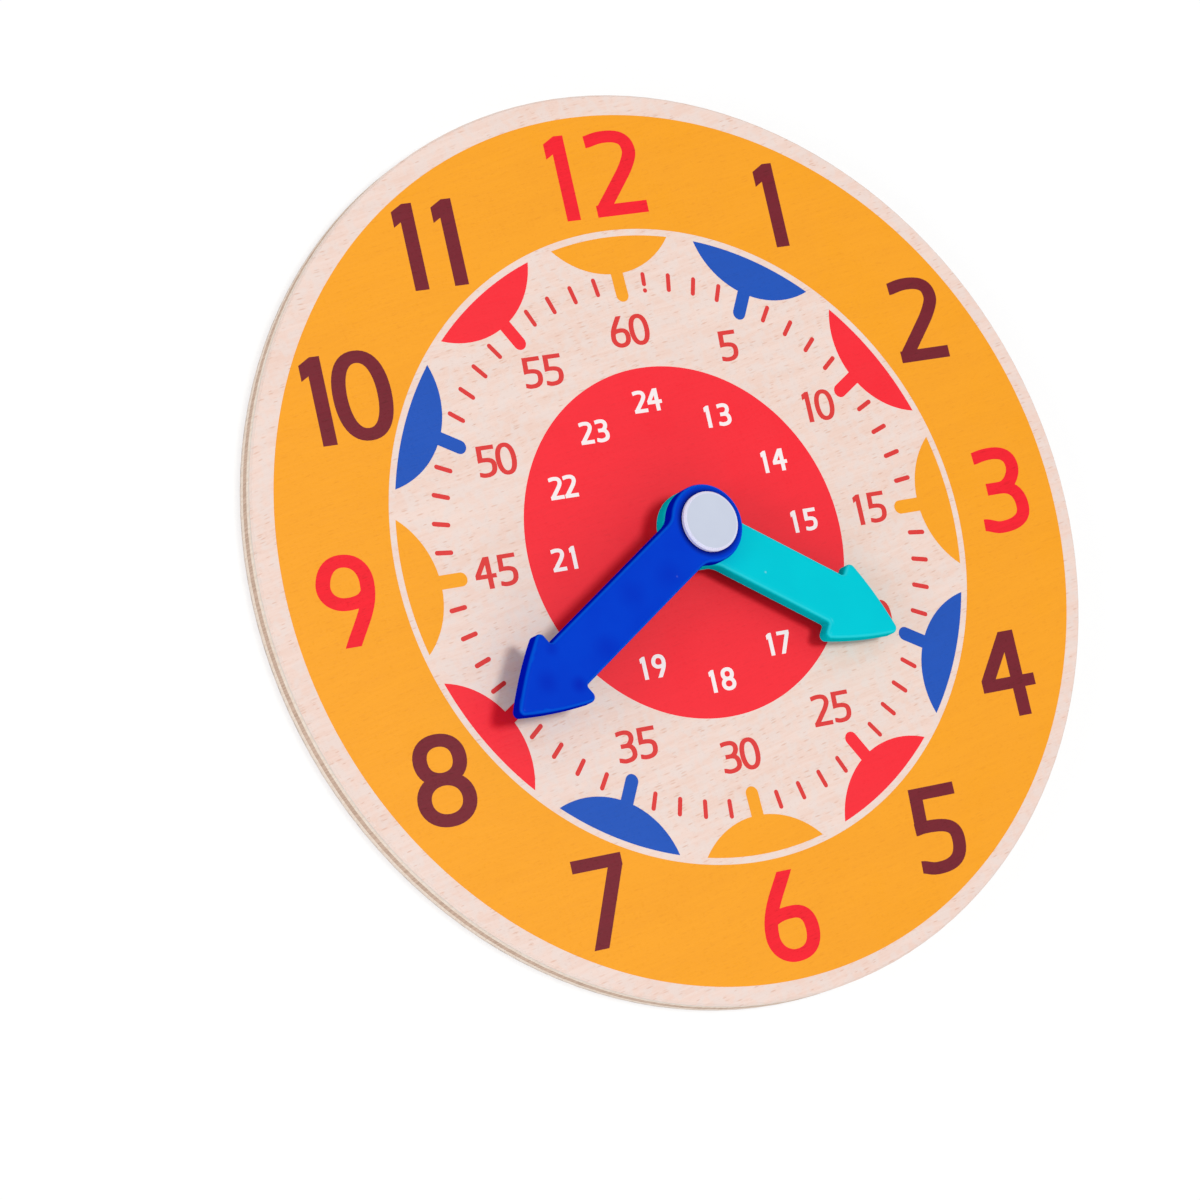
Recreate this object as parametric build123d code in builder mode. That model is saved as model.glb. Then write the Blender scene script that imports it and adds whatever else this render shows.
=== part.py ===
from build123d import *
import os
from math import cos, radians, sin

# A teaching clock: a printed plywood dial, and two moulded hands that turn on a
# snap rivet. The dial lies on its back. +Z points out of its face, +Y to the 12
# and +X to the 3, and the origin is the middle of the back. Sizes are in mm.

# Board: five plies glued face to face, listed from the back to the front
board_diameter = 140.0
edge_chamfer = 0.3
ply_thickness = {
    "back_veneer": 0.65,
    "back_crossband": 0.75,
    "core_ply": 1.20,
    "front_crossband": 0.75,
    "front_veneer": 0.65,
}
# The rivet's head is let into these plies and seats on the next one
recessed_plies = ("back_veneer", "back_crossband")
# The pivot hole is drilled a little off the middle of the board
pivot_x = 0.5
pivot_y = 0.8

# Rivet socket: a flat head at the back and the barrel that the hands turn on
barrel_diameter = 5.0
socket_head_diameter = 10.5
socket_head_thickness = 1.2
socket_head_chamfer = 0.3
barrel_chamfer = 0.2
socket_floor = 0.3

# Rivet cap: the pale button on the front, with a split pin that snaps home
cap_diameter = 9.1
cap_thickness = 0.9
cap_chamfer = 0.3
pin_diameter = 3.0
barb_height = 1.9
barb_depth = 0.32
barb_lead_in = 0.5
pin_tip_gap = 0.3
slot_width = 0.7
slot_length = 6.0

# Spacer: a plain ring that holds the hour hand off the print
spacer_diameter = 9.0
spacer_height = 2.3
spacer_chamfer = 0.25

# Hands: reach is from the pivot to the tip, the head runs back from the tip
hand_thickness = 2.45
hub_diameter = 12.0
arm_width = 8.1
corner_rounding = 0.85
head_side_bulge = 0.26
hub_blend = 3.0
neck_blend = 0.4
hand_top_rounding = 0.75
hour_reach = 35.7
hour_head_length = 11.0
hour_head_width = 12.6
hour_angle = 124.7
minute_reach = 44.8
minute_head_length = 11.3
minute_head_width = 12.7
minute_angle = 239.15

# Clearances
bore_clearance = 0.08
board_hole_clearance = 0.10
recess_clearance = 0.25
barb_clearance = 0.08
hour_hand_gap = 0.10
hand_gap = 0.15
end_float = 0.12

# Heights that follow from the stack
board_thickness = sum(ply_thickness.values())
socket_seat = sum(ply_thickness[name] for name in recessed_plies)
hour_bottom = board_thickness + spacer_height + hour_hand_gap
minute_bottom = hour_bottom + hand_thickness + hand_gap
cap_seat = minute_bottom + hand_thickness + end_float
socket_bottom = socket_seat - socket_head_thickness
bore_bottom = socket_bottom + socket_floor
pin_tip = bore_bottom + pin_tip_gap

# Radii that follow from the fits
barrel_radius = barrel_diameter / 2
hand_bore_radius = barrel_radius + bore_clearance
board_hole_radius = barrel_radius + board_hole_clearance
recess_radius = socket_head_diameter / 2 + recess_clearance
pin_radius = pin_diameter / 2
barb_radius = pin_radius + barb_depth
socket_bore_radius = pin_radius + bore_clearance
groove_radius = barb_radius + barb_clearance

# The section plane through the pivot, with X outward and Y up the stack
pivot_section = Plane(origin=(pivot_x, pivot_y, 0), x_dir=(1, 0, 0), z_dir=(0, -1, 0))
pivot_axis = Axis((pivot_x, pivot_y, 0), (0, 0, 1))
low_corner = (Align.MIN, Align.MIN)


def save(part, name):
    part.label = name
    export_step(part, f"parts/{name}.step")


def make_ply(name, bottom):
    """One ply: its slice of the board's section, turned, then drilled."""
    radius = board_diameter / 2
    hole_radius = recess_radius if name in recessed_plies else board_hole_radius
    with BuildPart() as ply:
        with BuildSketch(Plane.XZ) as section:
            Rectangle(radius, board_thickness, align=low_corner)
            chamfer(section.vertices().group_by(Axis.X)[-1], edge_chamfer)
            with Locations((0, bottom)):
                Rectangle(radius, ply_thickness[name], align=low_corner, mode=Mode.INTERSECT)
        revolve(axis=Axis.Z)
        with Locations((pivot_x, pivot_y)):
            Hole(hole_radius)
    save(ply.part, name)


def make_socket():
    """The female half: a head in the board's recess and a barrel with a snap groove."""
    with BuildPart() as socket:
        with BuildSketch(pivot_section) as section:
            with Locations((0, socket_bottom)):
                Rectangle(socket_head_diameter / 2, socket_head_thickness, align=low_corner)
            rim = section.vertices().group_by(Axis.X)[-1].sort_by(Axis.Y)[0]
            chamfer(rim, socket_head_chamfer)
            with Locations((0, socket_bottom)):
                Rectangle(barrel_radius, cap_seat - socket_bottom, align=low_corner)
            mouth = section.vertices().group_by(Axis.Y)[-1].sort_by(Axis.X)[-1]
            chamfer(mouth, barrel_chamfer)
            with Locations((0, bore_bottom)):
                Rectangle(
                    socket_bore_radius, cap_seat - bore_bottom, align=low_corner, mode=Mode.SUBTRACT
                )
                Rectangle(
                    groove_radius, pin_tip_gap + barb_height, align=low_corner, mode=Mode.SUBTRACT
                )
        revolve(axis=pivot_axis)
    save(socket.part, "rivet_socket")


def make_cap():
    """The male half: a button head and a pin, slotted so that its barbs spring in."""
    with BuildPart() as cap:
        with BuildSketch(pivot_section) as section:
            with Locations((0, cap_seat)):
                Rectangle(cap_diameter / 2, cap_thickness, align=low_corner)
            rim = section.vertices().group_by(Axis.X)[-1].sort_by(Axis.Y)[-1]
            chamfer(rim, cap_chamfer)
            with Locations((0, pin_tip)):
                Rectangle(pin_radius, cap_seat - pin_tip, align=low_corner)
            with BuildLine():
                Polyline(
                    (0, pin_tip),
                    (pin_radius - barb_depth, pin_tip),
                    (barb_radius, pin_tip + barb_height - barb_lead_in),
                    (barb_radius, pin_tip + barb_height - bore_clearance - barb_depth),
                    (pin_radius, pin_tip + barb_height - bore_clearance),
                    (0, pin_tip + barb_height - bore_clearance),
                    close=True,
                )
            make_face()
        revolve(axis=pivot_axis)
        # The slot runs up from the tip, right across the pin
        with BuildSketch(Plane.XY.offset(pin_tip)):
            with Locations((pivot_x, pivot_y)):
                Rectangle(4 * barb_radius, slot_width)
        extrude(amount=slot_length, mode=Mode.SUBTRACT)
    save(cap.part, "rivet_cap")


def make_spacer():
    with BuildPart() as spacer:
        with BuildSketch(Plane.XY.offset(board_thickness)):
            with Locations((pivot_x, pivot_y)):
                Circle(spacer_diameter / 2)
                Circle(hand_bore_radius, mode=Mode.SUBTRACT)
        extrude(amount=spacer_height)
        chamfer(spacer.faces().sort_by(Axis.Z)[-1].outer_wire().edges(), spacer_chamfer)
    save(spacer.part, "spacer")


def make_hand(name, reach, head_length, head_width, clock_angle, bottom):
    """One moulded hand: round hub, parallel arm and barbed arrow head, drawn along its own X."""
    pointing = radians(clock_angle)
    head_start = reach - head_length
    barb_centre = head_width / 2 - corner_rounding
    rear_centre = head_start + corner_rounding
    tip_centre = (reach - corner_rounding, 0)
    hand_plane = Plane(
        origin=(pivot_x, pivot_y, bottom), x_dir=(sin(pointing), cos(pointing), 0), z_dir=(0, 0, 1)
    )
    with BuildPart() as hand:
        with BuildSketch(hand_plane) as outline:
            # The arrow head, drawn through the centres of its rounded corners
            with BuildLine():
                Line((rear_centre, barb_centre), (rear_centre, -barb_centre))
                SagittaArc((rear_centre, -barb_centre), tip_centre, -head_side_bulge)
                SagittaArc(tip_centre, (rear_centre, barb_centre), -head_side_bulge)
            make_face()
            offset(amount=corner_rounding)
            Rectangle(head_start + corner_rounding, arm_width, align=(Align.MIN, Align.CENTER))
            Circle(hub_diameter / 2)

            def arm_ends():
                on_arm = outline.vertices().filter_by(lambda v: abs(abs(v.Y) - arm_width / 2) < 1e-3)
                return on_arm.sort_by(Axis.X)

            fillet(arm_ends()[-2:], neck_blend)
            fillet(arm_ends()[:2], hub_blend)
            Circle(hand_bore_radius, mode=Mode.SUBTRACT)
        extrude(amount=hand_thickness)
        top_rim = hand.faces().sort_by(Axis.Z)[-1].outer_wire().edges()
        fillet(top_rim, hand_top_rounding)
    save(hand.part, name)


os.makedirs("parts", exist_ok=True)

ply_bottom = 0.0
for ply_name, thickness in ply_thickness.items():
    make_ply(ply_name, ply_bottom)
    ply_bottom += thickness

make_socket()
make_spacer()
make_hand(
    "hour_hand", hour_reach, hour_head_length, hour_head_width, hour_angle, hour_bottom
)
make_hand(
    "minute_hand",
    minute_reach,
    minute_head_length,
    minute_head_width,
    minute_angle,
    minute_bottom,
)
make_cap()
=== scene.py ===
from math import atan2, cos, pi, radians, sin, sqrt

import bpy
from mathutils import Matrix, Vector
from mathutils.geometry import delaunay_2d_cdt


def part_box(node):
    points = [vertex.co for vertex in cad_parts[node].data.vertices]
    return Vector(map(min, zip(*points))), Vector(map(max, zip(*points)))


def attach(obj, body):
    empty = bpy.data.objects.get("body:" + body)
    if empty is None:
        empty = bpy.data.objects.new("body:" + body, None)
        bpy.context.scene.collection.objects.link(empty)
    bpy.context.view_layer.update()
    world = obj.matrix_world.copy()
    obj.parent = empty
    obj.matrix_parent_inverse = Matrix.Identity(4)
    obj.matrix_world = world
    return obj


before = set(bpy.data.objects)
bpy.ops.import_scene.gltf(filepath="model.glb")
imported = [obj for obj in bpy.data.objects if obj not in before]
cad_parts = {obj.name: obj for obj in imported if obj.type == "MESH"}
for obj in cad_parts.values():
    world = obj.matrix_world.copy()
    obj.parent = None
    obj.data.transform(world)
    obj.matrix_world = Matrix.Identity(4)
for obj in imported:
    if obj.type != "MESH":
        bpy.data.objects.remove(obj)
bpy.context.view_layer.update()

MM = 0.001


# ---------------------------------------------------------------------------
# The board: five plies of beech and poplar glued face to face and turned round.
# The two outer veneers are pale beech with short brown flecks, sanded smooth
# and sealed with a thin matt lacquer; their cut edges are a greyer beige.
# ---------------------------------------------------------------------------
grain_turn = radians(10)
grain_sway = 3.5 * MM
sways_per_metre = 35.0
mottles_per_metre = 520.0
# Cells that hold one mark each, or one swell of a noise: along the grain, across it and through
fleck_cell = Vector((2.1, 0.40, 40.0)) * MM
pore_cell = Vector((0.90, 0.19, 40.0)) * MM
streak_cell = Vector((7.0, 0.42, 9.0)) * MM
band_cell = Vector((30.0, 3.4, 9.0)) * MM
# The same on the cut edge: across, across and through the board
edge_streak_cell = Vector((0.5, 0.5, 6.0)) * MM
edge_scuff_cell = Vector((1.1, 1.1, 0.9)) * MM
# Shares of the cells that hold a mark: the flecks gather in the darker bands
flecks_in_pale_bands = 0.16
flecks_in_dark_bands = 0.42
cells_with_pores = 0.34
# A dash against its cell: half its length, its full middle, and its least depth
dash_shortest = 0.20
dash_longest = 0.42
dash_middle = 0.08
dash_faintest = 0.3
# How strongly each mark tints the wood
fleck_strength = 0.62
pore_strength = 0.20
mottle_strength = 0.55
edge_streak_strength = 0.30
# The broad bands' share of the figure; streaks make up the rest
band_share = 0.4
# How far the marks stand up or lie down in the relief, against the figure
streak_rise = 0.6
pore_depth = 1.2
fleck_depth = 0.8
veneer_shift = {"front_veneer": (0.0, 0.0, 0.0), "back_veneer": (0.31, 0.17, 0.0)}
edge_scuffing = {"front_veneer": 0.0, "back_veneer": 0.6}
veneer_relief = 0.020 * MM
veneer_relief_strength = 0.6
veneer_smoothest = 0.50
veneer_roughest = 0.62
wood_gloss = 0.15
beech_pale = (0.930, 0.735, 0.655, 1)
beech_rosy = (0.900, 0.665, 0.570, 1)
beech_fleck = (0.740, 0.430, 0.310, 1)
beech_pore = (0.740, 0.480, 0.370, 1)
beech_grey = (0.870, 0.750, 0.700, 1)
beech_cut_edge = (0.820, 0.760, 0.690, 1)
beech_scuffed = (0.560, 0.520, 0.480, 1)


def put(tree, kind, feeds=None, **settings):
    """A node with its settings; each feed is a value, or the output that drives the input."""
    node = tree.nodes.new(kind)
    for name, value in settings.items():
        setattr(node, name, value)
    for place, value in (feeds or {}).items():
        if isinstance(value, bpy.types.NodeSocket):
            tree.links.new(value, node.inputs[place])
        else:
            node.inputs[place].default_value = value
    return node


def blended(tree, share, under, over, blend_type="MIX"):
    """One colour laid over another; inputs 0, 6 and 7 and output 2 are the ones for colours."""
    feeds = {0: share, 6: under, 7: over}
    return put(tree, "ShaderNodeMix", feeds, data_type="RGBA", blend_type=blend_type).outputs[2]


def reckon(tree, operation, first, second=0.0, third=0.0):
    feeds = {0: first, 1: second, 2: third}
    return put(tree, "ShaderNodeMath", feeds, operation=operation).outputs[0]


def eased(tree, value, low, high, to_low=0.0, to_high=1.0):
    """A soft step: to_low below low, to_high above high."""
    feeds = {"Value": value, "From Min": low, "From Max": high, "To Min": to_low, "To Max": to_high}
    return put(tree, "ShaderNodeMapRange", feeds, interpolation_type="SMOOTHSTEP").outputs[0]


def noise(tree, place, scale, detail, roughness=0.5):
    """A cloudy value round 0.5; roughness is how much of it is fine."""
    feeds = {"Vector": place, "Scale": scale, "Detail": detail, "Roughness": roughness}
    return put(tree, "ShaderNodeTexNoise", feeds).outputs[0]


def object_place(tree):
    return put(tree, "ShaderNodeTexCoord").outputs["Object"]


def new_group(name, inputs, outputs):
    tree = bpy.data.node_groups.new(name, "ShaderNodeTree")
    for socket_name, kind, value in inputs:
        socket = tree.interface.new_socket(socket_name, in_out="INPUT", socket_type=kind)
        socket.default_value = value
    for socket_name, kind in outputs:
        tree.interface.new_socket(socket_name, in_out="OUTPUT", socket_type=kind)
    return tree, tree.nodes.new("NodeGroupInput"), tree.nodes.new("NodeGroupOutput")


def beech_figure():
    """Flecks, pores and soft bands that run along the grain of the face."""
    tree, given, out = new_group(
        "Beech figure",
        [("Shift", "NodeSocketVector", (0, 0, 0))],
        [("Flecks", "NodeSocketFloat"), ("Pores", "NodeSocketFloat"),
         ("Bands", "NodeSocketFloat"), ("Height", "NodeSocketFloat")],
    )
    feeds = {0: object_place(tree), 1: given.outputs["Shift"]}
    place = put(tree, "ShaderNodeVectorMath", feeds).outputs[0]
    feeds = {"Vector": place, "Scale": sways_per_metre, "Detail": 2.0}
    sway = put(tree, "ShaderNodeTexNoise", feeds).outputs["Color"]
    feeds = {0: sway, 1: (0.5, 0.5, 0.5)}
    sway = put(tree, "ShaderNodeVectorMath", feeds, operation="SUBTRACT").outputs[0]
    feeds = {0: sway, "Scale": grain_sway}
    sway = put(tree, "ShaderNodeVectorMath", feeds, operation="SCALE").outputs[0]
    place = put(tree, "ShaderNodeVectorMath", {0: place, 1: sway}).outputs[0]

    def along_grain(cell):
        feeds = {"Vector": place, "Rotation": (0, 0, grain_turn), "Scale": cell}
        return put(tree, "ShaderNodeMapping", feeds, vector_type="TEXTURE").outputs[0]

    def dashes(cell, share):
        """Short dashes of uneven length and depth, one in each cell that is drawn for it."""
        feeds = {"Vector": along_grain(cell), "Scale": 1.0}
        cells = put(tree, "ShaderNodeTexVoronoi", feeds, voronoi_dimensions="2D")
        drawn = put(tree, "ShaderNodeSeparateColor", {0: cells.outputs["Color"]})
        chosen = reckon(tree, "LESS_THAN", drawn.outputs[0], share)
        half_length = eased(tree, drawn.outputs[2], 0.0, 1.0, dash_shortest, dash_longest)
        shape = eased(tree, cells.outputs["Distance"], half_length, dash_middle)
        depth = eased(tree, drawn.outputs[1], 0.0, 1.0, dash_faintest, 1.0)
        return reckon(tree, "MULTIPLY", reckon(tree, "MULTIPLY", chosen, shape), depth)

    coarse = noise(tree, along_grain(band_cell), 1.0, 3.0, 0.6)
    streaks = noise(tree, along_grain(streak_cell), 1.0, 4.0, 0.65)
    cells_with_flecks = eased(tree, coarse, 0.35, 0.65, flecks_in_pale_bands, flecks_in_dark_bands)
    flecks = dashes(fleck_cell, cells_with_flecks)
    pores = dashes(pore_cell, cells_with_pores)
    fine_bands = reckon(tree, "MULTIPLY", streaks, 1 - band_share)
    bands = reckon(tree, "MULTIPLY_ADD", coarse, band_share, fine_bands)
    bands = eased(tree, bands, 0.36, 0.64)
    height = reckon(tree, "MULTIPLY_ADD", streaks, streak_rise, bands)
    height = reckon(tree, "MULTIPLY_ADD", pores, -pore_depth, height)
    height = reckon(tree, "MULTIPLY_ADD", flecks, -fleck_depth, height)
    for name, value in zip(["Flecks", "Pores", "Bands", "Height"], [flecks, pores, bands, height]):
        tree.links.new(value, out.inputs[name])
    return tree


def new_material(name):
    material = bpy.data.materials.new(name)
    material.use_nodes = True
    tree = material.node_tree
    shader = tree.nodes["Principled BSDF"]
    return material, tree, shader


def feed(tree, value, shader, socket):
    tree.links.new(value, shader.inputs[socket])


def add_relief(tree, shader, height, distance, strength=1.0):
    bump = put(tree, "ShaderNodeBump", {"Height": height, "Distance": distance, "Strength": strength})
    feed(tree, bump.outputs[0], shader, "Normal")


def dress(node_name, material):
    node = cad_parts[node_name]
    node.data.materials.clear()
    node.data.materials.append(material)
    return node


beech = beech_figure()


def cut_edge_streaks(tree, cell):
    """Saw and sanding streaks that stand across a ply's cut edge."""
    feeds = {"Vector": object_place(tree), "Scale": cell}
    place = put(tree, "ShaderNodeMapping", feeds, vector_type="TEXTURE").outputs[0]
    return noise(tree, place, 1.0, 3.0)


def veneer_material(name, shift, scuffing):
    """Beech figure on the two faces of a veneer and streaks, or scuffs, on its cut edge."""
    material, tree, shader = new_material(name)
    figure = put(tree, "ShaderNodeGroup", node_tree=beech)
    figure.inputs["Shift"].default_value = shift
    wood = blended(tree, figure.outputs["Bands"], beech_pale, beech_rosy)
    mottle = noise(tree, object_place(tree), mottles_per_metre, 2.0)
    wood = blended(tree, eased(tree, mottle, 0.42, 0.62, 0.0, mottle_strength), wood, beech_grey)
    fleck_share = reckon(tree, "MULTIPLY", figure.outputs["Flecks"], fleck_strength)
    wood = blended(tree, fleck_share, wood, beech_fleck)
    pore_share = reckon(tree, "MULTIPLY", figure.outputs["Pores"], pore_strength)
    wood = blended(tree, pore_share, wood, beech_pore)
    normal = put(tree, "ShaderNodeNewGeometry").outputs["Normal"]
    facing = put(tree, "ShaderNodeSeparateXYZ", {0: normal}).outputs[2]
    on_face = eased(tree, reckon(tree, "ABSOLUTE", facing), 0.35, 0.85)
    streaks = cut_edge_streaks(tree, edge_streak_cell)
    edge = blended(tree, eased(tree, streaks, 0.3, 0.75), beech_cut_edge, beech_pore)
    edge = blended(tree, edge_streak_strength, beech_cut_edge, edge)
    scuffs = cut_edge_streaks(tree, edge_scuff_cell)
    edge = blended(tree, eased(tree, scuffs, 0.46, 0.62, 0.0, scuffing), edge, beech_scuffed)
    feed(tree, blended(tree, on_face, edge, wood), shader, "Base Color")
    roughness = eased(tree, figure.outputs["Bands"], 0.0, 1.0, veneer_smoothest, veneer_roughest)
    feed(tree, roughness, shader, "Roughness")
    shader.inputs["Specular IOR Level"].default_value = wood_gloss
    add_relief(tree, shader, figure.outputs["Height"], veneer_relief, veneer_relief_strength)
    return material


for node_name, shift in veneer_shift.items():
    dress(node_name, veneer_material(f"{node_name} beech", shift, edge_scuffing[node_name]))


# ---------------------------------------------------------------------------
# The inner plies show only as stripes in the board's edge: two cream crossbands
# and a brown core. They are cut and sanded with the board, so fine streaks
# stand across each stripe, and the core's open end grain is the darkest.
# ---------------------------------------------------------------------------
crossband_pale = (0.960, 0.860, 0.750, 1)
crossband_dark = (0.880, 0.740, 0.610, 1)
core_pale = (0.720, 0.540, 0.425, 1)
core_dark = (0.560, 0.400, 0.300, 1)
crossband_cell = Vector((0.35, 0.35, 5.0)) * MM
core_cell = Vector((0.22, 0.22, 5.0)) * MM
patch_cell = Vector((9.0, 9.0, 9.0)) * MM
patch_strength = 0.35
cut_ply_smoothest = 0.62
cut_ply_roughest = 0.78
cut_ply_relief = 0.040 * MM


def cut_ply_material(name, pale, dark, cell):
    """Dark streaks on the pale wood, worn paler again in patches."""
    material, tree, shader = new_material(name)
    streaks = cut_edge_streaks(tree, cell)
    patches = cut_edge_streaks(tree, patch_cell)
    colour = blended(tree, eased(tree, streaks, 0.36, 0.70), pale, dark)
    colour = blended(tree, eased(tree, patches, 0.45, 0.75, 0.0, patch_strength), colour, pale)
    feed(tree, colour, shader, "Base Color")
    roughness = eased(tree, streaks, 0.2, 0.8, cut_ply_smoothest, cut_ply_roughest)
    feed(tree, roughness, shader, "Roughness")
    shader.inputs["Specular IOR Level"].default_value = wood_gloss
    add_relief(tree, shader, streaks, cut_ply_relief)
    return material


crossband_wood = cut_ply_material("crossband poplar", crossband_pale, crossband_dark, crossband_cell)
core_wood = cut_ply_material("core end grain", core_pale, core_dark, core_cell)
dress("front_crossband", crossband_wood)
dress("back_crossband", crossband_wood)
dress("core_ply", core_wood)


# ---------------------------------------------------------------------------
# The orange ring: the first screen-printed ink, laid straight on the sanded
# veneer. The ink film is thin and satin, and sinks a little into the pores, so
# the grain under it shows as a faint relief and darker specks.
# ---------------------------------------------------------------------------
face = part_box("front_veneer")[1].z
print_centre = Vector((0.55, -0.30)) * MM
ink_sunk = 0.012 * MM
ink_film = 0.020 * MM
ring_outer = 66.97 * MM
ring_inner = 48.89 * MM
ring_facets = 360
specks_per_metre = 2600.0
ink_clouds_per_metre = 120.0
ink_relief = 0.012 * MM
ink_relief_strength = 0.6
# What the streaks, specks and clouds add to the sunk ink, and the specks to the relief
streaks_in_ink = 0.5
specks_in_ink = 0.12
clouds_in_ink = 0.05
speck_rise = 0.35
ink_smoothest = 0.36
ink_roughest = 0.48
ink_orange = (1.000, 0.390, 0.006, 1)
sunk_ink_tint = (0.740, 0.600, 0.600, 1)
# Areas smaller than this, in square metres, and gaps narrower than this, in mm, are nothing
least_area = 1e-13
least_gap_mm = 1e-3


def screen_ink():
    """How the wood shows through an ink film: darker where the ink sinks into flecks and pores."""
    tree, given, out = new_group(
        "Screen ink",
        [("Ink", "NodeSocketColor", (1, 1, 1, 1)), ("Show-through", "NodeSocketFloat", 0.2)],
        [("Colour", "NodeSocketColor"), ("Roughness", "NodeSocketFloat"), ("Height", "NodeSocketFloat")],
    )
    figure = put(tree, "ShaderNodeGroup", node_tree=beech)
    specks = noise(tree, object_place(tree), specks_per_metre, 2.0)
    cloud = noise(tree, object_place(tree), ink_clouds_per_metre, 3.0)
    shade = blended(tree, 1.0, given.outputs["Ink"], sunk_ink_tint, "MULTIPLY")
    sunk = reckon(tree, "MAXIMUM", figure.outputs["Flecks"], figure.outputs["Pores"])
    sunk = reckon(tree, "MULTIPLY", sunk, given.outputs["Show-through"])
    streaked = reckon(tree, "MULTIPLY", figure.outputs["Bands"], given.outputs["Show-through"])
    sunk = reckon(tree, "MULTIPLY_ADD", streaked, streaks_in_ink, sunk)
    sunk = reckon(tree, "MULTIPLY_ADD", eased(tree, specks, 0.55, 0.80), specks_in_ink, sunk)
    sunk = reckon(tree, "MULTIPLY_ADD", eased(tree, cloud, 0.50, 0.75), clouds_in_ink, sunk)
    colour = blended(tree, sunk, given.outputs["Ink"], shade)
    height = reckon(tree, "MULTIPLY_ADD", specks, speck_rise, figure.outputs["Height"])
    roughness = eased(tree, cloud, 0.3, 0.7, ink_smoothest, ink_roughest)
    tree.links.new(colour, out.inputs["Colour"])
    tree.links.new(roughness, out.inputs["Roughness"])
    tree.links.new(height, out.inputs["Height"])
    return tree


ink_on_wood = screen_ink()


def ink_material(name, colour, gloss=0.25, show_through=0.2):
    """One ink; show_through is how much of the wood's figure is seen in it."""
    material, tree, shader = new_material(name)
    ink = put(tree, "ShaderNodeGroup", node_tree=ink_on_wood)
    ink.inputs["Ink"].default_value = colour
    ink.inputs["Show-through"].default_value = show_through
    feed(tree, ink.outputs["Colour"], shader, "Base Color")
    feed(tree, ink.outputs["Roughness"], shader, "Roughness")
    shader.inputs["Specular IOR Level"].default_value = gloss
    add_relief(tree, shader, ink.outputs["Height"], ink_relief, ink_relief_strength)
    return material


def circle_line(radius, steps):
    turns = [2 * pi * i / steps for i in range(steps)]
    return [radius * Vector((cos(turn), sin(turn))) for turn in turns]


def ribbon(points, width_at, closed=False):
    """Triangles along a line of points; width_at gives the width for the line's direction there."""
    if closed:
        points = points + points[:1]
    last = len(points) - 1
    rails = []
    for i, point in enumerate(points):
        before = points[i - 1] if i else (points[-2] if closed else point)
        after = points[i + 1] if i < last else (points[1] if closed else point)
        ahead = (after - before).normalized()
        across = Vector((-ahead.y, ahead.x)) * width_at(ahead) / 2
        rails.append((point - across, point + across))
    steps = [[a[0], b[0], b[1], a[1]] for a, b in zip(rails, rails[1:])]
    return [half for step in steps for half in (step[:3], [step[0], step[2], step[3]])]


def signed_area(shape):
    """More than nothing when the corners run anticlockwise."""
    return sum(a.x * b.y - a.y * b.x for a, b in zip(shape, shape[1:] + shape[:1])) / 2


def united(polygons, window=None):
    """Triangles that cover what any polygon covers, cut off at the window's edge."""
    shapes = polygons + ([window] if window else [])
    shapes = [shape for shape in shapes if abs(signed_area(shape)) > least_area]
    shapes = [shape if signed_area(shape) > 0 else shape[::-1] for shape in shapes]
    corners = [corner / MM for shape in shapes for corner in shape]
    faces = []
    start = 0
    for shape in shapes:
        faces.append(list(range(start, start + len(shape))))
        start += len(shape)
    meshed = delaunay_2d_cdt(corners, [], faces, 0, least_gap_mm, True)
    corners, _, triangles, _, _, sources = meshed
    # Each triangle's source lists the shapes that cover it, and the window is the last shape
    window_number = len(shapes) - 1
    kept = []
    for triangle, source in zip(triangles, sources):
        covered = len(source) > 0
        if window:
            covered = window_number in source and len(source) > 1
        if covered:
            kept.append(tuple(triangle))
    return [corner * MM for corner in corners], kept


def ink_piece(name, areas, material, slot, layer=0):
    """A closed film: each area's triangles on top, walls down into the wood, and a back.

    The layer counts the inks that lie under this one.
    """
    top = face + ink_film * (1 + layer)
    low = face - ink_sunk
    vertices, faces = [], []
    for corners, triangles in areas:
        used = sorted({i for triangle in triangles for i in triangle})
        upper = {i: len(vertices) + n for n, i in enumerate(used)}
        vertices += [(corners[i].x + print_centre.x, corners[i].y + print_centre.y, top) for i in used]
        lower = {i: len(vertices) + n for n, i in enumerate(used)}
        vertices += [(corners[i].x + print_centre.x, corners[i].y + print_centre.y, low) for i in used]
        sides = {(a, b) for t in triangles for a, b in zip(t, t[1:] + t[:1])}
        faces += [[upper[i] for i in t] for t in triangles]
        faces += [[lower[i] for i in reversed(t)] for t in triangles]
        faces += [[upper[b], upper[a], lower[a], lower[b]] for a, b in sides if (b, a) not in sides]
    mesh = bpy.data.meshes.new(name)
    mesh.from_pydata(vertices, [], faces)
    mesh.materials.append(material)
    piece = bpy.data.objects.new(name, mesh)
    bpy.context.scene.collection.objects.link(piece)
    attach(piece, "board")
    return piece


orange = ink_material("orange screen ink", ink_orange)
ring_line = circle_line((ring_outer + ring_inner) / 2, ring_facets)
ring = united(ribbon(ring_line, lambda ahead: ring_outer - ring_inner, closed=True))
ink_piece("print_orange_ring", [ring], orange, "ink_orange")


# ---------------------------------------------------------------------------
# The twelve hour marks inside the ring: half-moons, each with a stub that
# points at the pivot. They are printed flat with the ring, in orange, blue and
# red by turns, and a thin line of bare wood is left between them and the ring.
# ---------------------------------------------------------------------------
moon_outer = 47.86 * MM
moon_inner = 42.08 * MM
moon_half_width = 10.17 * MM
stub_width = 2.10 * MM
stub_end = 37.68 * MM
moon_facets = 24
stub_end_facets = 28
degrees_per_hour = 30
ink_red = (1.000, 0.012, 0.028, 1)
ink_blue = (0.002, 0.084, 0.515, 1)
moon_colours = ("orange", "blue", "red")


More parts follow.
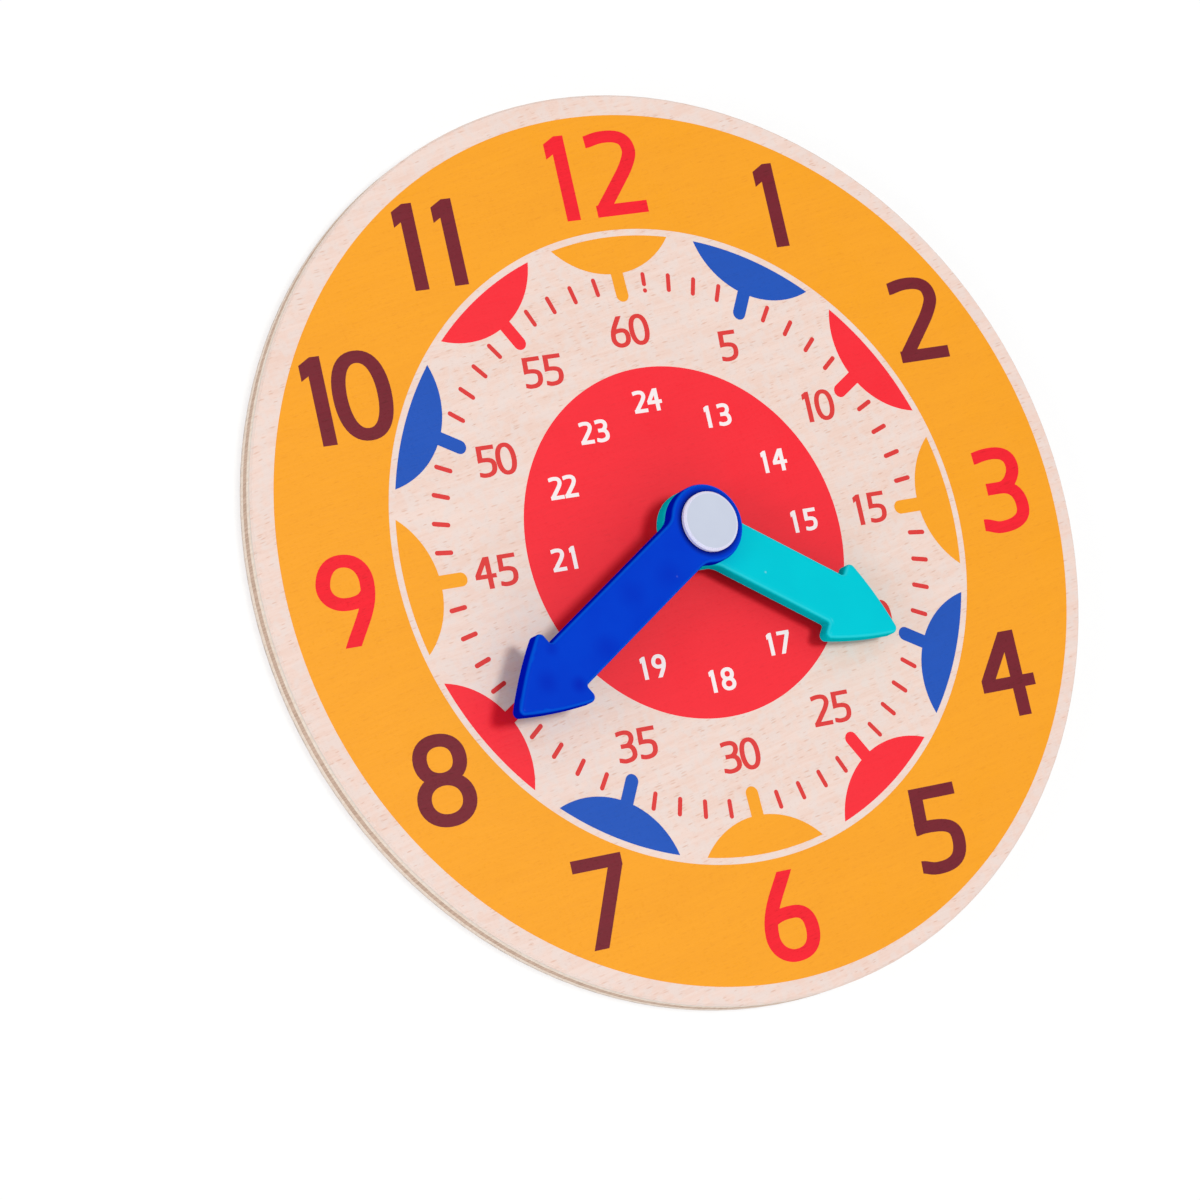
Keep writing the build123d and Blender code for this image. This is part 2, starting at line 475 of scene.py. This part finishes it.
def turned(points, clock_degrees):
    """Drawn with the 12 upward, turned clockwise to its hour."""
    c, s = cos(radians(clock_degrees)), sin(radians(clock_degrees))
    return [Vector((p.x * c + p.y * s, -p.x * s + p.y * c)) for p in points]


def half_moon():
    """Its outer edge runs round the pivot, and its inner edge is an arc that bulges towards it."""
    end_angle = atan2(moon_half_width, sqrt(moon_outer ** 2 - moon_half_width ** 2))
    end_height = moon_outer * cos(end_angle)
    bulge = end_height - moon_inner
    inner_radius = (moon_half_width ** 2 + bulge ** 2) / (2 * bulge)
    sweep = atan2(moon_half_width, inner_radius - bulge)
    outer = [Vector((moon_outer * sin(a), moon_outer * cos(a)))
             for a in (end_angle * (1 - 2 * i / moon_facets) for i in range(moon_facets + 1))]
    inner = [Vector((inner_radius * sin(a), moon_inner + inner_radius * (1 - cos(a))))
             for a in (sweep * (2 * i / moon_facets - 1) for i in range(1, moon_facets))]
    return outer + inner


def disc(centre, radius, steps):
    return [[centre + point for point in circle_line(radius, steps)]]


def stub():
    tip = Vector((0, stub_end + stub_width / 2))
    root = Vector((0, moon_inner + stub_width))
    return ribbon([tip, root], lambda ahead: stub_width) + disc(tip, stub_width / 2, stub_end_facets)


red = ink_material("red screen ink", ink_red, gloss=0.28)
blue = ink_material("blue screen ink", ink_blue)
inks = {"orange": (orange, "ink_orange"), "blue": (blue, "ink_blue"), "red": (red, "ink_red")}
for turn, colour in enumerate(moon_colours):
    areas = []
    for hour in range(turn, 12, len(moon_colours)):
        mark = [half_moon()] + stub()
        areas.append(united([turned(shape, hour * degrees_per_hour) for shape in mark]))
    ink_piece(f"print_hour_marks_{colour}", areas, *inks[colour])


# ---------------------------------------------------------------------------
# The minute ticks: four short red bars with round ends between each two stubs.
# The bar at one minute past has a pinhole where the screen was blocked.
# ---------------------------------------------------------------------------
tick_outer = 42.07 * MM
tick_inner = 39.10 * MM
tick_width = 0.70 * MM
tick_end_facets = 16
pinhole_minute = 1
pinhole_low = 39.53 * MM
pinhole_high = 39.85 * MM
degrees_per_minute = 6
ink_fine_red = (0.780, 0.038, 0.034, 1)


def bar(low, high):
    """A bar with round ends; one that is no longer than it is wide is a dot."""
    a = Vector((0, low + tick_width / 2))
    b = Vector((0, high - tick_width / 2))
    shapes = disc(a, tick_width / 2, tick_end_facets) + disc(b, tick_width / 2, tick_end_facets)
    if high - low > tick_width:
        shapes += ribbon([a, b], lambda ahead: tick_width)
    return shapes


def tick(minute, low, high):
    return united([turned(shape, minute * degrees_per_minute) for shape in bar(low, high)])


ticks = []
for minute in range(60):
    if minute == pinhole_minute:
        ticks.append(tick(minute, pinhole_low - tick_width, pinhole_low))
        ticks.append(tick(minute, pinhole_high, tick_outer))
    elif minute % 5:
        ticks.append(tick(minute, tick_inner, tick_outer))
fine_red = ink_material("fine red screen ink", ink_fine_red)
ink_piece("print_minute_ticks", ticks, fine_red, "ink_red")


# ---------------------------------------------------------------------------
# The red disc round the pivot, printed solid with the same red ink. It carries
# the hours 13 to 24.
# ---------------------------------------------------------------------------
disc_radius = 27.10 * MM
disc_centre = Vector((0.06, 0.18)) * MM
disc_facets = 180
red_disc = united(disc(disc_centre, disc_radius, disc_facets))
ink_piece("print_red_disc", [red_disc], red, "ink_red")


# ---------------------------------------------------------------------------
# The numerals, printed last. One plain set of digits is used three times: bold
# for the hours, thin and red for the minutes, and small and white for 13 to 24.
# The heavy strokes are upright, the level ones thinner, all leaning slightly.
# ---------------------------------------------------------------------------
numeral_lean = 0.036
# Widths, and how far the round digits reach past the line, as shares of the height
digit_widths = {"0": 0.72, "1": 0.27, "2": 0.67, "3": 0.755, "4": 0.73,
                "5": 0.745, "6": 0.705, "7": 0.635, "8": 0.725, "9": 0.705}
round_digits = "03689"
overshoot = 0.008
stroke_swell = 1.6
# The one's flag: its slope, its drop as a share of the height and its depth in stroke widths
flag_slope = 0.54
flag_drop = 0.08
flag_depth = 1.03


def loop(left, right, low, high, across, upward):
    """A closed loop in four curves, with its handles' lengths as shares of its half sizes."""
    middle, half_height = (low + high) / 2, upward * (high - low) / 2
    centre, half_width = (left + right) / 2, across * (right - left) / 2
    return [
        (centre, high), (centre + half_width, high), (right, middle + half_height),
        (right, middle), (right, middle - half_height), (centre + half_width, low),
        (centre, low), (centre - half_width, low), (left, middle - half_height),
        (left, middle), (left, middle + half_height), (centre - half_width, high),
        (centre, high),
    ]


# A stroke is a chain of curves with two handles between its points; two points alone are a
# straight line. Both run from 0 to 1 between the outermost middles of the strokes, and what
# passes the digit's own window is cut off.
digit_strokes = {
    "0": [loop(0, 1, 0, 1, 0.70, 0.56)],
    "2": [
        [(-0.11, 0.955), (0, 0.955), (0.15, 1), (0.43, 1), (0.78, 1), (1, 0.95), (1, 0.775),
         (1, 0.70), (0.82, 0.555), (0.70, 0.475), (0.38, 0.265), (0.06, 0.06), (-0.27, -0.15)],
        [(-0.3, 0), (1.3, 0)],
    ],
    "3": [
        [(0.07, 0.965), (0.14, 0.965), (0.25, 1), (0.51, 1), (0.76, 1), (0.965, 0.95),
         (0.965, 0.785), (0.965, 0.68), (0.79, 0.525), (0.56, 0.525)],
        [(0.58, 0.525), (0.24, 0.525)],
        [(0.54, 0.525), (0.95, 0.525), (1, 0.35), (1, 0.24), (1, 0.045), (0.67, 0), (0.39, 0),
         (0.24, 0), (0.11, 0.06), (-0.01, 0.06)],
    ],
    "4": [
        [(0.73, -0.2), (0.73, 1.2)],
        [(-0.2, 0.38), (1.3, 0.38)],
        [(-0.08, 0.37), (0.94, 1.3)],
    ],
    "5": [
        [(0.33, 1), (1.2, 1)],
        [(0.245, 1.2), (0.20, 0.53)],
        [(0.045, 0.545), (0.12, 0.545), (0.16, 0.56), (0.29, 0.56), (0.79, 0.56), (1, 0.515),
         (1, 0.33), (1, 0.11), (0.83, 0), (0.40, 0), (0.20, 0), (0.12, 0.05), (0.01, 0.05)],
    ],
    "6": [
        [(0.69, 1.15), (0.42, 0.86), (0, 0.62), (0, 0.29), (0, 0.10), (0.27, 0), (0.49, 0),
         (0.89, 0), (1, 0.155), (1, 0.295), (1, 0.455), (0.87, 0.55), (0.60, 0.55),
         (0.42, 0.55), (0.18, 0.54), (0.02, 0.46)],
    ],
    "7": [
        [(-0.3, 1), (1.3, 1)],
        [(1.17, 1.15), (0.05, -0.2)],
    ],
    "8": [loop(0, 1, 0, 0.515, 0.60, 0.56), loop(0.08, 0.96, 0.515, 1, 0.57, 0.64)],
    "9": [
        [(0.33, -0.15), (0.67, 0.21), (1, 0.375), (1, 0.705), (1, 0.86), (0.835, 1), (0.49, 1),
         (0.125, 1), (0, 0.78), (0, 0.69), (0, 0.555), (0.21, 0.457), (0.48, 0.457),
         (0.70, 0.457), (0.88, 0.475), (0.98, 0.58)],
    ],
}


def curve_points(handles, steps):
    """The chain of curves as points; two handles alone are a straight line."""
    if len(handles) == 2:
        return [Vector(handles[0]), Vector(handles[1])]
    points = [Vector(handles[0])]
    for start in range(0, len(handles) - 1, 3):
        a, b, c, d = [Vector(h) for h in handles[start:start + 4]]
        for i in range(1, steps + 1):
            t = i / steps
            u = 1 - t
            points.append(u ** 3 * a + 3 * u * u * t * b + 3 * u * t * t * c + t ** 3 * d)
    return points


def figure_one(width, height, upright):
    """The one: an upright stem with a flag whose two edges slope down from its top."""
    stem = width - upright
    drop = flag_drop * height
    under = height - drop - flag_depth * upright
    return [Vector(p) for p in [
        (0, under), (stem, under + flag_slope * stem), (stem, 0), (width, 0), (width, height),
        (drop / flag_slope, height), (0, height - drop),
    ]]


def digit_area(digit, style):
    """One digit, its lower left corner at (0, 0)."""
    height, upright, level = style["height"], style["upright"], style["level"]
    width = digit_widths[digit] * height
    if digit == "1":
        return united([figure_one(width, height, upright)])
    over = overshoot * height if digit in round_digits else 0
    reach = Vector((width - upright, height + 2 * over - level))
    margin = Vector((upright / 2, level / 2 - over))

    def width_at(ahead):
        return level + (upright - level) * abs(ahead.y) ** stroke_swell

    shapes = []
    for stroke in digit_strokes[digit]:
        line = [Vector((margin.x + p.x * reach.x, margin.y + p.y * reach.y))
                for p in curve_points(stroke, style["steps"])]
        closed = stroke[0] == stroke[-1]
        shapes += ribbon(line[:-1] if closed else line, width_at, closed)
    low, high = -over, height + over
    window = [Vector((0, low)), Vector((width, low)), Vector((width, high)), Vector((0, high))]
    return united(shapes, window)


def number_area(text, centre, style):
    """A number of one or two digits, centred there; most ones stand wider off their neighbour."""
    height = style["height"]
    apart = "1" in text and text not in style["set_close"]
    between = style["gap_by_one" if apart else "gap"] * height
    total = sum(digit_widths[d] * height for d in text) + between * (len(text) - 1)
    left = centre.x - total / 2
    areas = []
    for digit in text:
        corners, triangles = digit_area(digit, style)
        moved = [Vector((left + c.x + numeral_lean * (c.y - height / 2), centre.y - height / 2 + c.y))
                 for c in corners]
        areas.append((moved, triangles))
        left += digit_widths[digit] * height + between
    return areas


def numbers(entries, radius, style):
    """Each entry is the text, its hour on the dial and how far it was set off from there, in mm."""
    areas = []
    for text, hour, off_x, off_y in entries:
        angle = radians(hour * degrees_per_hour)
        spot = radius * Vector((sin(angle), cos(angle)))
        areas += number_area(text, spot + Vector((off_x, off_y)) * MM, style)
    return areas


# Hours: bold, on the ring, red at the quarters and plum at the rest. The 10 is set close.
hour_radius = 57.65 * MM
bold = {"height": 13.35 * MM, "upright": 2.33 * MM, "level": 1.87 * MM, "steps": 12,
        "gap": 0.06, "gap_by_one": 0.23, "set_close": ("10",)}
ink_plum = (0.190, 0.004, 0.016, 1)
quarter_hours = [
    ("12", 12, 0.75, 0.05), ("3", 3, -0.45, 0.15), ("6", 6, 0.85, 0), ("9", 9, 0.25, -0.4),
]
other_hours = [
    ("1", 1, 1.05, -0.3), ("2", 2, 0.9, 0), ("4", 4, -0.15, 0.45), ("5", 5, 0.85, 0.4),
    ("7", 7, 0.05, -0.1), ("8", 8, 0.35, 0.5), ("10", 10, 0.65, 0.2), ("11", 11, -1.3, 0.15),
]
bold_red = ink_material("bold red screen ink", ink_red, gloss=0.15, show_through=0.6)
plum = ink_material("plum screen ink", ink_plum, show_through=0.8)
quarter_areas = numbers(quarter_hours, hour_radius, bold)
other_areas = numbers(other_hours, hour_radius, bold)
ink_piece("print_quarter_hours", quarter_areas, bold_red, "ink_red", layer=1)
ink_piece("print_other_hours", other_areas, plum, "ink_plum", layer=1)

# Minutes: thin and red, on the bare wood
minute_radius = 32.9 * MM
thin = {"height": 4.80 * MM, "upright": 0.84 * MM, "level": 0.65 * MM, "steps": 8,
        "gap": 0.0, "gap_by_one": 0.145, "set_close": ()}
minutes = [
    ("60", 12, -0.35, 0.25), ("5", 1, -0.7, 0.25), ("10", 2, 0.6, 1.1), ("15", 3, 0.45, 0.6),
    ("20", 4, 0.25, 0.45), ("25", 5, 0.8, 0), ("30", 6, -0.4, 0.05), ("35", 7, -0.8, 0.05),
    ("40", 8, -0.35, 0.2), ("45", 9, 0.15, 0.3), ("50", 10, 0.25, 0.2), ("55", 11, -0.45, 0.35),
]
ink_piece("print_minutes", numbers(minutes, minute_radius, thin), fine_red, "ink_red")

# Hours 13 to 24: small and white, on the red disc
day_radius = 21.25 * MM
small = {"height": 3.45 * MM, "upright": 0.68 * MM, "level": 0.565 * MM, "steps": 7,
         "gap": 0.04, "gap_by_one": 0.275, "set_close": ()}
ink_white = (1.000, 0.900, 0.900, 1)
day_hours = [
    ("24", 12, -0.45, 0.9), ("13", 1, 0.35, -0.05), ("14", 2, 0.3, -0.45), ("15", 3, -0.05, 0.4),
    ("16", 4, 0.1, 0.5), ("17", 5, 0.65, 1.05), ("18", 6, 0.05, -0.05), ("19", 7, -0.3, 0.85),
    ("20", 8, -0.15, 0.45), ("21", 9, 0.05, 0.5), ("22", 10, 0.1, 0.5), ("23", 11, -0.15, 0.25),
]
white = ink_material("white screen ink", ink_white, show_through=0.08)
ink_piece("print_day_hours", numbers(day_hours, day_radius, small), white, "ink_white", layer=1)


# ---------------------------------------------------------------------------
# The spacer: a plain moulded ring on the rivet, which holds the hour hand off
# the print. It is pale matt plastic and hardly shows under the hub.
# ---------------------------------------------------------------------------
spacer_pale = (0.740, 0.750, 0.780, 1)
dull_spacer_and_wall_shade = (0.600, 0.610, 0.640, 1)
spacer_roughness = 0.55
dust_colour = (0.750, 0.800, 0.900, 1)
dust_share = 0.05
dust_strength = 0.25
cloud_strength = 0.5
plastic_clouds_per_metre = 140.0
dust_cells_per_metre = 420.0
peel_per_metre = 900.0
plastic_relief = 0.006 * MM
plastic_relief_strength = 0.5
roughness_spread = 0.06
coat_weight = 0.09
coat_roughness = 0.22


def moulded_surface():
    """Fine moulding texture: soft clouds, a few dust specks and a faint orange-peel."""
    tree, given, out = new_group(
        "Moulded surface",
        [("Dust share", "NodeSocketFloat", dust_share)],
        [("Clouds", "NodeSocketFloat"), ("Dust", "NodeSocketFloat"), ("Height", "NodeSocketFloat")],
    )
    place = object_place(tree)
    clouds = noise(tree, place, plastic_clouds_per_metre, 3.0)
    cells = put(tree, "ShaderNodeTexVoronoi", {"Vector": place, "Scale": dust_cells_per_metre})
    drawn = put(tree, "ShaderNodeSeparateColor", {0: cells.outputs["Color"]})
    chosen = reckon(tree, "LESS_THAN", drawn.outputs[0], given.outputs["Dust share"])
    dust = reckon(tree, "MULTIPLY", chosen, eased(tree, cells.outputs["Distance"], 0.10, 0.03))
    dust = reckon(tree, "MULTIPLY", dust, drawn.outputs[1])
    peel = noise(tree, place, peel_per_metre, 2.0)
    tree.links.new(eased(tree, clouds, 0.3, 0.7), out.inputs["Clouds"])
    tree.links.new(dust, out.inputs["Dust"])
    tree.links.new(peel, out.inputs["Height"])
    return tree


moulded = moulded_surface()


def plastic_material(name, colour, deep, edge, wall, roughness):
    """Clouds and dust on the body colour, a painted highlight in the edge colour on the rounded edges,
    and painted light and shade in the wall colour on the walls.
    """
    material, tree, shader = new_material(name)
    surface = put(tree, "ShaderNodeGroup", node_tree=moulded)
    surface.inputs["Dust share"].default_value = dust_share
    # How far the surface faces up: 1 on a flat top, 0 on a wall
    normal = put(tree, "ShaderNodeNewGeometry").outputs["Normal"]
    facing = put(tree, "ShaderNodeSeparateXYZ", {0: normal}).outputs[2]
    # A painted highlight: the rounded edges are painted in the edge colour
    painted_edge_highlight = reckon(tree, "MULTIPLY", eased(tree, facing, 0.97, 0.75), eased(tree, facing, 0.30, 0.70))
    cloud_share = reckon(tree, "MULTIPLY", surface.outputs["Clouds"], cloud_strength)
    body = blended(tree, cloud_share, colour, deep)
    body = blended(tree, painted_edge_highlight, body, edge)
    # Painted light and shade: the walls are painted in the wall colour
    body = blended(tree, eased(tree, facing, 0.55, 0.15), body, wall)
    dust = reckon(tree, "MULTIPLY", surface.outputs["Dust"], dust_strength)
    feed(tree, blended(tree, dust, body, dust_colour), shader, "Base Color")
    roughest = roughness + roughness_spread
    uneven = eased(tree, surface.outputs["Clouds"], 0.0, 1.0, roughness, roughest)
    feed(tree, uneven, shader, "Roughness")
    shader.inputs["Specular IOR Level"].default_value = 0.0
    feed(tree, eased(tree, facing, 0.40, 0.85, 0.0, coat_weight), shader, "Coat Weight")
    shader.inputs["Coat Roughness"].default_value = coat_roughness
    add_relief(tree, shader, surface.outputs["Height"], plastic_relief, plastic_relief_strength)
    return material, tree, shader


def colour_so_far(shader):
    return shader.inputs["Base Color"].links[0].from_socket


# The spacer's walls are painted in its dull colour as painted shade, and its rounded edges in its pale
# colour as a painted highlight
spacer_plastic = plastic_material(
    "spacer plastic", spacer_pale, dull_spacer_and_wall_shade, spacer_pale, dull_spacer_and_wall_shade, spacer_roughness)
dress("spacer", spacer_plastic[0])


# ---------------------------------------------------------------------------
# The hour hand: one injection-moulded piece of turquoise plastic with rounded
# upper edges. It turns on the rivet's barrel above the spacer.
# ---------------------------------------------------------------------------
hour_body = (0.000, 0.615, 0.710, 1)
hour_deep = (0.000, 0.570, 0.675, 1)
# A painted highlight on the rounded upper edges
hour_highlight_colour = (0.020, 0.690, 0.780, 1)
# Painted light on the walls, paler than the top
hour_painted_wall_light = (0.000, 0.640, 0.720, 1)
hand_roughness = 0.26
turquoise = plastic_material(
    "turquoise plastic", hour_body, hour_deep, hour_highlight_colour, hour_painted_wall_light, hand_roughness)
dress("hour_hand", turquoise[0])


# ---------------------------------------------------------------------------
# The minute hand: the same moulding made longer, in deep blue. Its colour is a
# little uneven, darker where the plastic met as the mould filled, and a ring of
# painted shade lies round the cap's edge.
# ---------------------------------------------------------------------------
minute_body = (0.000, 0.050, 0.640, 1)
minute_deep = (0.000, 0.036, 0.580, 1)
minute_flow = (0.000, 0.018, 0.500, 1)
# A painted highlight on the rounded upper edges
minute_highlight_colour = (0.000, 0.090, 0.720, 1)
# Painted shade on the walls, darker than the top
minute_painted_wall_shade = (0.000, 0.008, 0.600, 1)
# The colour of the painted shade round the cap's edge
painted_cap_shade_colour = (0.000, 0.004, 0.190, 1)
cap_low, cap_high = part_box("rivet_cap")
pivot = Vector(((cap_low.x + cap_high.x) / 2, (cap_low.y + cap_high.y) / 2, 0))
cap_radius = (cap_high.x - cap_low.x) / 2
cap_shade_reach = 1.05 * MM
cap_shade_strength = 0.95
# The way the hand points, clockwise from the 12
hand_turn = radians(239.15)
along_hand = Vector((sin(hand_turn), cos(hand_turn), 0))
across_hand = Vector((-along_hand.y, along_hand.x, 0))
# Flow marks in the moulding: how far along and across the hand, how big, all in mm, and how dark
flow_marks = [
    (34.6, 3.1, 1.9, 0.8), (34.2, -3.5, 1.6, 0.5), (38.4, -0.5, 2.6, 0.5),
    (27.0, 2.4, 3.2, 0.4), (18.0, -0.8, 3.6, 0.35), (11.0, 1.2, 3.4, 0.4),
]


def from_pivot(tree, offset=Vector((0, 0, 0))):
    """How far a point is from the rivet's axis, or from a line that stands off it by the offset."""
    feeds = {0: object_place(tree), 1: (1, 1, 0)}
    flat = put(tree, "ShaderNodeVectorMath", feeds, operation="MULTIPLY").outputs[0]
    feeds = {0: flat, 1: pivot + offset}
    return put(tree, "ShaderNodeVectorMath", feeds, operation="DISTANCE").outputs["Value"]


deep_blue, tree, shader = plastic_material(
    "deep blue plastic", minute_body, minute_deep, minute_highlight_colour, minute_painted_wall_shade, hand_roughness)
body = colour_so_far(shader)
for along, across, size, darkness in flow_marks:
    away = from_pivot(tree, (along_hand * along + across_hand * across) * MM)
    body = blended(tree, eased(tree, away, size * MM, 0.0, 0.0, darkness), body, minute_flow)
# A ring of painted shade round the cap, darkest at its edge
shade_end = cap_radius + cap_shade_reach
painted_shade_round_cap = eased(tree, from_pivot(tree), shade_end, cap_radius, 0.0, cap_shade_strength)
feed(tree, blended(tree, painted_shade_round_cap, body, painted_cap_shade_colour), shader, "Base Color")
dress("minute_hand", deep_blue)


# ---------------------------------------------------------------------------
# The rivet: a pale lavender-grey button whose split pin snaps into the socket
# behind the board. Both halves are moulded in the same plastic. Its thin rim is
# painted paler than the middle as a highlight, and its side wall darker as painted shade.
# ---------------------------------------------------------------------------
rivet_body = (0.625, 0.675, 0.800, 1)
rivet_deep = (0.570, 0.610, 0.745, 1)
# A painted highlight on the rim and the rounded edge
rivet_highlight_colour = (0.800, 0.810, 1.000, 1)
# Painted shade on the side wall
rivet_painted_wall_shade = (0.480, 0.500, 0.700, 1)
rivet_roughness = 0.33
rim_start = 0.90 * cap_radius
rim_full = 0.94 * cap_radius
rivet_plastic, tree, shader = plastic_material(
    "rivet plastic", rivet_body, rivet_deep, rivet_highlight_colour, rivet_painted_wall_shade, rivet_roughness)
# A painted highlight round the rim
painted_rim_highlight = eased(tree, from_pivot(tree), rim_start, rim_full)
rivet_colour = blended(tree, painted_rim_highlight, colour_so_far(shader), rivet_highlight_colour)
feed(tree, rivet_colour, shader, "Base Color")
dress("rivet_cap", rivet_plastic)
dress("rivet_socket", rivet_plastic)


# ---------------------------------------------------------------------------
# The studio: a white paper floor under the clock that keeps its soft shadow,
# one key light almost straight above the face, two softboxes, a wide soft fill
# and the camera.
# ---------------------------------------------------------------------------
floor_half = 3.0
paper_clouds_per_metre = 300.0
paper_dull = (0.880, 0.880, 0.880, 1)
paper_bright = (0.910, 0.910, 0.910, 1)
# The camera sees the paper darker, so that shadows stay in it, with a glow that whitens it
paper_seen = (0.300, 0.300, 0.300, 1)
paper_glow = 0.72
floor_mesh = bpy.data.meshes.new("floor")
corners = [(-floor_half, -floor_half, 0), (floor_half, -floor_half, 0),
           (floor_half, floor_half, 0), (-floor_half, floor_half, 0)]
floor_mesh.from_pydata(corners, [], [(0, 1, 2, 3)])
floor = bpy.data.objects.new("floor", floor_mesh)
bpy.context.scene.collection.objects.link(floor)

paper = bpy.data.materials.new("white paper")
paper.use_nodes = True
tree = paper.node_tree
tree.nodes.remove(tree.nodes["Principled BSDF"])
paper_out = tree.nodes["Material Output"]
seen = put(tree, "ShaderNodeLightPath")
straight = reckon(tree, "MAXIMUM", seen.outputs["Is Camera Ray"], seen.outputs["Is Glossy Ray"])
feeds = {"Scale": paper_clouds_per_metre, "Detail": 4.0}
clouds = put(tree, "ShaderNodeTexNoise", feeds).outputs[0]
pale = blended(tree, eased(tree, clouds, 0.3, 0.7), paper_dull, paper_bright)
matt = put(tree, "ShaderNodeBsdfDiffuse", {"Color": pale}).outputs[0]
darker = put(tree, "ShaderNodeBsdfDiffuse", {"Color": paper_seen}).outputs[0]
glow = put(tree, "ShaderNodeEmission", {"Strength": paper_glow}).outputs[0]
shown = put(tree, "ShaderNodeAddShader", {0: darker, 1: glow}).outputs[0]
both = put(tree, "ShaderNodeMixShader", {0: straight, 1: matt, 2: shown}).outputs[0]
tree.links.new(both, paper_out.inputs["Surface"])
floor_mesh.materials.append(paper)

backdrop_white = (1, 1, 1, 1)
fill_tint = (1.000, 0.910, 0.910, 1)
fill_strength = 0.50
world = bpy.data.worlds.new("studio")
bpy.context.scene.world = world
world.use_nodes = True
tree = world.node_tree
background = tree.nodes["Background"]
by_camera = put(tree, "ShaderNodeLightPath").outputs["Is Camera Ray"]
tree.links.new(blended(tree, by_camera, fill_tint, backdrop_white), background.inputs["Color"])
feeds = {"Value": by_camera, "To Min": fill_strength, "To Max": 1.0}
strength = put(tree, "ShaderNodeMapRange", feeds).outputs[0]
tree.links.new(strength, background.inputs["Strength"])

key_direction = Vector((0.17, 0.0, 1.0))
key_strength = 1.36
key_tint = (0.90, 1.00, 1.00)
key_softness = radians(14)
key = bpy.data.lights.new("key", "SUN")
key.energy = key_strength
key.color = key_tint
key.angle = key_softness
key_light = bpy.data.objects.new("key", key)
key_light.rotation_euler = key_direction.to_track_quat("Z", "Y").to_euler()
bpy.context.scene.collection.objects.link(key_light)

softbox_distance = 1.2
softbox_size = 0.45
# Each softbox: its name, which way it lies from the clock, and its watts
softboxes = [
    ("softbox left", (-0.92, 0.05, 0.38), 2.4),
    ("softbox front", (-0.20, -0.88, 0.42), 1.3),
]
for name, way, watts in softboxes:
    softbox = bpy.data.lights.new(name, "AREA")
    softbox.size = softbox_size
    softbox.energy = watts
    softbox_light = bpy.data.objects.new(name, softbox)
    softbox_light.location = Vector(way).normalized() * softbox_distance
    softbox_light.rotation_euler = Vector(way).to_track_quat("Z", "Y").to_euler()
    bpy.context.scene.collection.objects.link(softbox_light)

camera_at = Vector((-367.74, -105.23, 600.15)) * MM
camera_aim = Vector((-14.06, -6.03, 0.0)) * MM
# The direction on the dial that stands upright in the view, clockwise from the 12
camera_roll = radians(16.13)
lens_mm = 142.82
sensor_mm = 36.0
camera_data = bpy.data.cameras.new("camera")
camera_data.sensor_fit = "HORIZONTAL"
camera_data.sensor_width = sensor_mm
camera_data.lens = lens_mm
camera_data.clip_start = 0.05
camera_data.clip_end = 20.0
camera = bpy.data.objects.new("camera", camera_data)
camera_back = (camera_at - camera_aim).normalized()
camera_right = Vector((sin(camera_roll), cos(camera_roll), 0)).cross(camera_back).normalized()
camera_up = camera_back.cross(camera_right)
axes = Matrix((camera_right, camera_up, camera_back)).transposed().to_4x4()
camera.matrix_world = Matrix.Translation(camera_at) @ axes
bpy.context.scene.collection.objects.link(camera)
bpy.context.scene.camera = camera
bpy.context.scene.view_settings.view_transform = "Standard"
